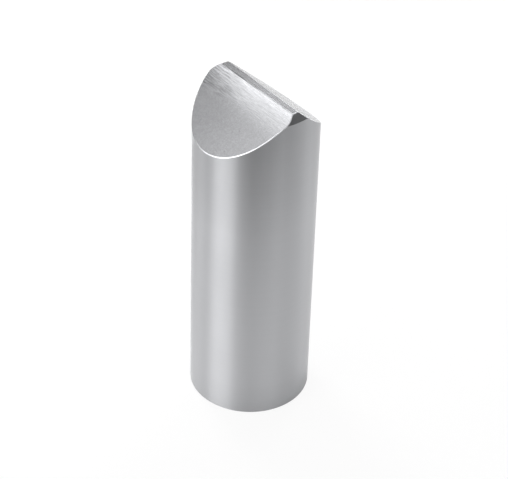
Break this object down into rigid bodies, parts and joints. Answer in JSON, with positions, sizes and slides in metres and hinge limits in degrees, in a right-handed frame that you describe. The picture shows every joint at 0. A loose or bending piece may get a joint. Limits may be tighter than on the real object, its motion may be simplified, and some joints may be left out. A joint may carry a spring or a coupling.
{
  "type": "pawl pin",
  "caption": "Solid steel pin with a flat base and a blunt roof-shaped nose that locks into a ratchet notch.",
  "frame": {"origin": "centre of the flat base face", "axes": "+Z along the pin from the base to the nose, X along the ridge of the roof, -Y towards the crowned front flank"},
  "size_m": [0.01, 0.01, 0.0287],
  "materials": {
    "steel": "fine ground satin shank, brushed milled flanks, bright deburred edges"
  },
  "bodies": {
    "root": {"pawl_pin": "steel"}
  },
  "joints": []
}
